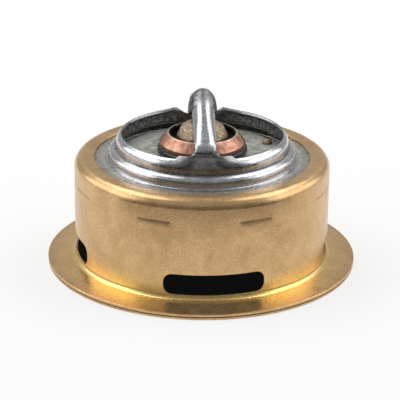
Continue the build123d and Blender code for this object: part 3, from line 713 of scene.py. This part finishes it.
def waxShadeAndGrime(x, y, z, r):
    # dark where the surface lies well inside the collar's cone, and painted shade a little on its foot, where it sits
    # on the seal
    inside = (z > 28.9) * smoothStep(0.1, 0.4, 8.13 + (31.5 - z) * 0.88 - r)
    return np.maximum(inside, 0.5 * smoothStep(0.5, 0.0, z - 28.4))


def waxPaleEdge(x, y, z, r):
    # the collar's edge is paler, least at the front
    return (0.3 + 0.6 * smoothStep(-6.5, -1, y)) * smoothStep(31.25, 31.4, z)


showPiece("waxCan", turnedPiece(waxCanShape, 256, longest=1.2), copper, "valve", "wax_can", shadeAndGrime=waxShadeAndGrime,
          sheenAndBare=waxPaleEdge)

domeShape = dict(corners=[(2.06, 28.0), (6.77, 28.0), (6.77, 29.2), (9.05, 29.2), (8.53, 29.8), (5.9, 29.8),
                          (5.9, 30.9), (4.9, 33.0), (3.0, 34.1), (2.06, 34.1)],
                 radii=[0.1, 0.1, 0.03, 0.1, 0.25, 0.3, 1.6, 1.3, 0.9, 0.25], lump=0.01, skinR=2.3, skinZ=29.9)
domeLoop = roundedLoop(domeShape["corners"], domeShape["radii"], step=8, longest=0.5)
domePoints = spin(domeLoop, fullTurn(200))
domeSkin = ((domeLoop[:, 0] > domeShape["skinR"]) & (domeLoop[:, 1] > domeShape["skinZ"]))[None]
domePoints[..., :2] *= (1 + domeShape["lump"] * wobble(domePoints, 1.7, 9) * domeSkin)[..., None]
# painted shade: dark low on the dome, down inside the copper collar
showPiece("elementDome", closedGrid(domePoints), domeBrass, "valve", "element_guide",
          shadeAndGrime=lambda x, y, z, r: 1 - smoothStep(29.8, 31.0, z) * 0.97)

pistonShape = dict(corners=[(0, 13.6), (2, 13.6), (2, 38.83), (1.1, 40.8), (0, 40.83)], radii=[0.25, 0.2, 0.25])
showPiece("piston", turnedPiece(pistonShape, 96, longest=3), groundSteel, "housing", "piston")

cupShape = dict(holeR=8.1, rimR=14.8, faceZ=25.4, rimZ=23.9, bend=0.6, sheet=0.6)
cupLine = roundedLine(cornersOf(cupShape, "holeR faceZ rimR faceZ rimR rimZ"), cupShape["bend"], step=12)
showPiece("springCup", closedGrid(spin(sheetLoop(cupLine, cupShape["sheet"], 0.1), fullTurn(240))), plateZinc,
          "valve", "spring_cup")

sleeveShape = dict(stemR=5.2, hubR=9.5, hubZ=11.15, floorStart=14.0, floorZ=8.95, wallR=28.55, wallTop=17.35,
                   bend=1.5, sheet=0.7, windowIn=15.0, windowOut=26.0, spoke=6.0, cutLow=8.0, cutHigh=12.5)


def sectorCutter(shape, turn):
    # the space between two spokes: two arcs about the axis and two lines along the spokes, with rounded corners
    inR, outR, half = shape["windowIn"], shape["windowOut"], shape["spoke"] / 2
    inEnd = 45 - math.degrees(math.asin(half / inR))
    outEnd = 45 - math.degrees(math.asin(half / outR))
    inArc = np.radians(np.linspace(inEnd, -inEnd, 13))
    outArc = np.radians(np.linspace(-outEnd, outEnd, 25))
    outline = np.concatenate([np.stack([outR * np.cos(outArc), outR * np.sin(outArc)], 1),
                              np.stack([inR * np.cos(inArc), inR * np.sin(inArc)], 1)])
    radii = np.zeros(len(outline))
    radii[[0, len(outArc) - 1, len(outArc), -1]] = 1.0
    loop = roundedLoop(outline, radii, step=15, reach=5, longest=9)
    points = np.stack([np.column_stack([loop, np.full(len(loop), shape[end])]) for end in ("cutLow", "cutHigh")])
    return closedGrid(turned(points, turn), wrapRows=False)


def makeSleeve(shape):
    # the bent sheet taken round, less the four spaces between its spokes
    line = roundedLine(cornersOf(shape, "stemR hubZ hubR hubZ floorStart floorZ wallR floorZ wallR wallTop"),
                       shape["bend"])
    blank = newMesh("sleeveBlank", closedGrid(spin(sheetLoop(line, shape["sheet"]), fullTurn(320))))
    return cutAway(blank, newMesh("sectorTools", *(sectorCutter(shape, 90 * k) for k in range(4))))


# painted shade: dark all over but the outer face of its wall, inside the can
showPiece("bypassSleeve", makeSleeve(sleeveShape), brass, "valve", "bypass_sleeve", crease=30,
          shadeAndGrime=lambda x, y, z, r: 0.85 * (r < 28.6))

showPiece("stemWasher", flatRing(dict(innerR=5.2, outerR=8.0, middleZ=10.5, sheet=0.6), 0.12, 96), plateZinc, "valve",
          "stem_washer")

clipShape = dict(innerR=4.43, outerR=6.3, low=9.5, high=10.2, mouth=40.0)
clipLoop = roundedLoop(cornersOf(clipShape, "innerR low outerR low outerR high innerR high"), 0.15, step=20)
clipPoints = spin(clipLoop, np.linspace(clipShape["mouth"] / 2, 360 - clipShape["mouth"] / 2, 80))
showPiece("retainingRing", closedGrid(clipPoints, wrapRows=False), wireSteel, "valve", "retaining_ring")


def makeJigglePin(shape):
    # a lumpy half ball on a shank: the ball's outline is a quarter circle, r = h cos a, z = top + h sin a
    arc = np.radians(np.linspace(90, 0, 14))
    ball = np.stack([shape["head"] * np.cos(arc), shape["top"] + 0.02 + shape["head"] * 0.98 * np.sin(arc)], 1)
    line = np.concatenate([ball, [(shape["shank"] + 0.01, shape["top"]), (shape["shank"], shape["top"] - 0.1),
                                  (shape["shank"], shape["weightTop"]), (0, shape["weightTop"])]])
    line[0, 0] = 0
    points = spin(line, fullTurn(48))
    lump = shape["lump"] * wobble(points, 1.1, 3) * (line[:, 1] > shape["top"] + 0.05)[None]
    points[..., :2] *= (1 + lump)[..., None] * 0.97
    return closedGrid(points + jiggleSpot, wrapColumns=False)


showPiece("jigglePin", makeJigglePin(jiggleShape), domeBrass, "jiggle", "jiggle_pin")
weightBlock = block(0, jiggleShape["weightR"], jiggleShape["weightLow"], jiggleShape["weightTop"])
weightPoints = spin(roundedLine(weightBlock, 0.3, step=12), fullTurn(48)) + jiggleSpot
showPiece("jiggleWeight", closedGrid(weightPoints, wrapColumns=False), domeBrass, "jiggle", "jiggle_weight")


# ---- spring and its bracket ----

springShape = dict(lowR=9.8, highR=13.6, lowZ=13.85, highZ=24.35, turns=3.25, wire=0.7, ease=0.075, sides=20,
                   anchorZ=13.1)


def makeSpring(shape):
    # a round wire along a conical helix: radius and height both grow with the angle, and the height eases at both
    # ends; the wire's last thousandths of the way are rounded off
    share = np.linspace(0, 1, 260)
    angle = share * shape["turns"] * 2 * np.pi
    ease = share - shape["ease"] * np.sin(2 * np.pi * share)
    radius = shape["lowR"] + (shape["highR"] - shape["lowR"]) * share
    path = np.stack([radius * np.cos(angle), radius * np.sin(angle),
                     shape["lowZ"] + (shape["highZ"] - shape["lowZ"]) * ease], 1)
    outward = np.stack([np.cos(angle), np.sin(angle), np.zeros_like(angle)], 1)
    upward = unit(np.cross(np.gradient(path, axis=0), outward))
    around = np.radians(fullTurn(shape["sides"]))[None, :, None]
    fromEnd = np.clip(np.abs(share - 0.5) - 0.498, 0, 1) / 0.002
    taper = np.sqrt(np.clip(1 - fromEnd ** 2, 0.04, 1))[:, None, None]
    section = np.cos(around) * outward[:, None] + np.sin(around) * upward[:, None]
    return closedGrid(path[:, None] + shape["wire"] * taper * section, wrapRows=False)


spring = showPiece("mainSpring", makeSpring(springShape), wireSteel, "housing", "main_spring")
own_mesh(spring)

bracketShape = dict(sheet=1.2, halfWidth=4.5, tabEnd=26.9, legR=23.3, topZ=23.8, middleZ=12.5, kneeZ=14.7,
                    seatR=12.6, holeR=8.0, collarR=8.8, collarTop=14.7, bend=2.0, innerR=4.0)


def makeBracket(shape):
    # three solids grown together: the bent strap, the round seat with its hole and the collar round the hole
    right = cornersOf(shape, "seatR middleZ legR kneeZ legR topZ tabEnd topZ")
    line = roundedLine(np.concatenate([right[::-1] * (-1, 1), right]), shape["bend"])
    loop = sheetLoop(line, shape["sheet"], 0.2)
    half, side, innerR = shape["sheet"] / 2, shape["halfWidth"], shape["innerR"]
    strap = np.stack([np.column_stack([loop[:, 0], np.full(len(loop), y), loop[:, 1]]) for y in (-side, side)])
    sections = (block(innerR, shape["seatR"], shape["middleZ"] - half, shape["middleZ"] + half),
                block(innerR, shape["collarR"], shape["middleZ"], shape["collarTop"]))
    rounds = [closedGrid(spin(roundedLoop(section, 0.2, step=30), fullTurn(120))) for section in sections]
    blank = fuse(newMesh("bracketBlank", closedGrid(strap, wrapRows=False), *rounds), 0.25, 6)
    return cutAway(blank, newMesh("bracketDrill", drill(shape["holeR"], 10, 17)))


# painted shade: the whole bracket is darkened, down inside the can
showPiece("springBracket", makeBracket(bracketShape), plateZinc, "housing", "spring_bracket",
          shadeAndGrime=lambda x, y, z, r: 0.7)

# the pieces sealed inside the element keep their own solids
for node, finish in (("boot_spacer", slipRing), ("piston_boot", rubber), ("wax_charge", wax)):
    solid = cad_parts[node]
    solid.data.materials.clear()
    solid.data.materials.append(finish)
print("pieces ready")


# ---- studio ----

cameraSet = dict(azimuth=-1.0, elevation=21.38, distance=431.9, target=(-0.39, 0.0, 14.36), roll=0.65, lens=163.85)


def placeCamera(setting):
    # the camera stands at target + distance * back, where back points from the target to it
    azimuth, elevation = math.radians(setting["azimuth"]), math.radians(setting["elevation"])
    back = Vector((math.sin(azimuth) * math.cos(elevation), -math.cos(azimuth) * math.cos(elevation),
                   math.sin(elevation)))
    data = bpy.data.cameras.new("studioCamera")
    data.lens, data.sensor_width, data.clip_start, data.clip_end = setting["lens"], 36, 0.01, 20
    camera = addObject("studioCamera", data)
    camera.location = Vector(setting["target"]) * mm + back * setting["distance"] * mm
    aim = (-back).to_track_quat("-Z", "Y").to_euler()
    aim.rotate_axis("Z", math.radians(setting["roll"]))
    camera.rotation_euler = aim
    bpy.context.scene.camera = camera


placeCamera(cameraSet)


def paleSurface(name, shade, glow, hole):
    # a matte surface; camera rays and reflections see `glow` of plain white mixed in, which fades out inside the
    # radius `hole` in mm
    finish = newFinish(name)
    nodes, links = finish.node_tree.nodes, finish.node_tree.links
    nodes.clear()
    matte, light, join = (nodes.new("ShaderNode" + kind) for kind in ("BsdfDiffuse", "Emission", "MixShader"))
    matte.inputs["Color"].default_value = (shade, shade, shade, 1)
    light.inputs["Color"].default_value = (1, 1, 1, 1)
    ray, place, far = (nodes.new("ShaderNode" + kind) for kind in ("LightPath", "TexCoord", "VectorMath"))
    far.operation = "LENGTH"
    links.new(place.outputs["Object"], far.inputs[0])
    edge = nodes.new("ShaderNodeMapRange")
    setInputs(edge, {"From Min": hole * 0.93 * mm, "From Max": hole * mm, "To Max": glow})
    links.new(far.outputs["Value"], edge.inputs["Value"])
    seen = ray.outputs["Is Camera Ray"]
    for kind in ("Is Glossy Ray", "Is Transmission Ray"):
        seen = blendNumbers(finish.node_tree, "ADD", seen, ray.outputs[kind])
    links.new(blendNumbers(finish.node_tree, "MULTIPLY", seen, edge.outputs["Result"]), join.inputs["Fac"])
    links.new(matte.outputs[0], join.inputs[1])
    links.new(light.outputs[0], join.inputs[2])
    out = nodes.new("ShaderNodeOutputMaterial")
    links.new(join.outputs[0], out.inputs["Surface"])
    return finish


def stageSheet(name, points, faces, finish):
    # an open sheet of the stage, in metres
    mesh = bpy.data.meshes.new(name)
    mesh.from_pydata(np.reshape(points, (-1, 3)).tolist(), [], faces)
    mesh.materials.append(finish)
    sheet = addObject(name, mesh)
    return sheet


stageSheet("floor", [(-6, -6, 0), (6, -6, 0), (6, 6, 0), (-6, 6, 0)], [(0, 1, 2, 3)],
           paleSurface("paleFloor", 0.86, 0.72, 36))


def plainGlow(name, shade):
    # gives off an even grey and reflects nothing
    finish = newFinish(name)
    setInputs(finish.node_tree.nodes["Principled BSDF"], {
        "Base Color": (0.01, 0.01, 0.01, 1), "Roughness": 1.0, "Specular IOR Level": 0.0,
        "Emission Color": (1, 1, 1, 1), "Emission Strength": shade})
    return finish


def fan(turn, radii, heights):
    # two rows of points between two azimuths, which count from the front towards the right: each row has its own
    # radius and height, x = r sin a, y = -r cos a
    angle = np.radians(np.linspace(*turn, 33))[:, None]
    radii, heights = np.array([radii]), np.array([heights])
    return np.stack([np.sin(angle) * radii, -np.cos(angle) * radii, heights + 0 * angle], -1)


# curved cards round the object that the camera doesn't see; rise is in degrees above the floor, lengths in metres
cardSet = [dict(name="frontCard", radius=0.55, turn=(-58, 58), rise=(0, 25), glow=0.13),
           dict(name="backCard", radius=0.9, turn=(150, 210), rise=(3, 34), glow=0.45)]
for card in cardSet:
    points = fan(card["turn"], (card["radius"],) * 2, card["radius"] * np.tan(np.radians(card["rise"])))
    finish = plainGlow(card["name"] + "Skin", card["glow"])
    stageSheet(card["name"], points, cells(points.shape).tolist(), finish).visible_camera = False

# a dark sheet on the floor before the object, for the steel ring's reflections only
darkSheet = dict(turn=(-66, 72), near=0.085, far=0.549, height=0.0006, glow=0.02)
points = fan(darkSheet["turn"], (darkSheet["near"], darkSheet["far"]), (darkSheet["height"],) * 2)
board = stageSheet("darkSheet", points, cells(points.shape).tolist(), plainGlow("darkSheetSkin", darkSheet["glow"]))
board.visible_camera = board.visible_diffuse = board.visible_shadow = False

# painted shade under the can, where no light gets: a black disc just over the floor, inside its wall, in mm
paintedShadowDisc = dict(radius=29, height=0.3, sides=64, glow=0.004)
points = spin(np.array([(paintedShadowDisc["radius"], paintedShadowDisc["height"])]), fullTurn(paintedShadowDisc["sides"])) * mm
stageSheet("paintedShadowDisc", points, [tuple(range(paintedShadowDisc["sides"]))], plainGlow("paintedShadowDiscSkin", paintedShadowDisc["glow"]))

# soft boxes: the walls face the object and the roofs face down; a box of w by h metres has a power of light pi w h
boxSet = [dict(name="leftWall", place=(-0.62, 0.05, 0.36), size=(0.75, 0.5), light=1.9),
          dict(name="rightWall", place=(0.62, 0.05, 0.36), size=(0.75, 0.5), light=1.7),
          dict(name="leftRoof", place=(-0.54, 0.43, 0.95), size=(0.60, 1.10), light=2.6),
          dict(name="rightRoof", place=(0.56, 0.43, 0.95), size=(0.56, 1.10), light=2.4)]
for lamp in boxSet:
    data = bpy.data.lights.new(lamp["name"], "AREA")
    data.shape, (data.size, data.size_y) = "RECTANGLE", lamp["size"]
    data.energy = lamp["light"] * math.pi * data.size * data.size_y
    box = addObject(lamp["name"], data)
    box.location = lamp["place"]
    box.visible_camera = False
    if "Wall" in lamp["name"]:
        box.rotation_euler = (math.radians(90), 0, math.radians(90 if lamp["place"][0] > 0 else -90))

world = bpy.data.worlds.new("studio")
bpy.context.scene.world = world
world.use_nodes = True
setInputs(world.node_tree.nodes["Background"], {"Color": (0.96, 0.98, 1.0, 1), "Strength": 0.38})
bpy.context.scene.view_settings.view_transform = "Standard"
print("studio ready")
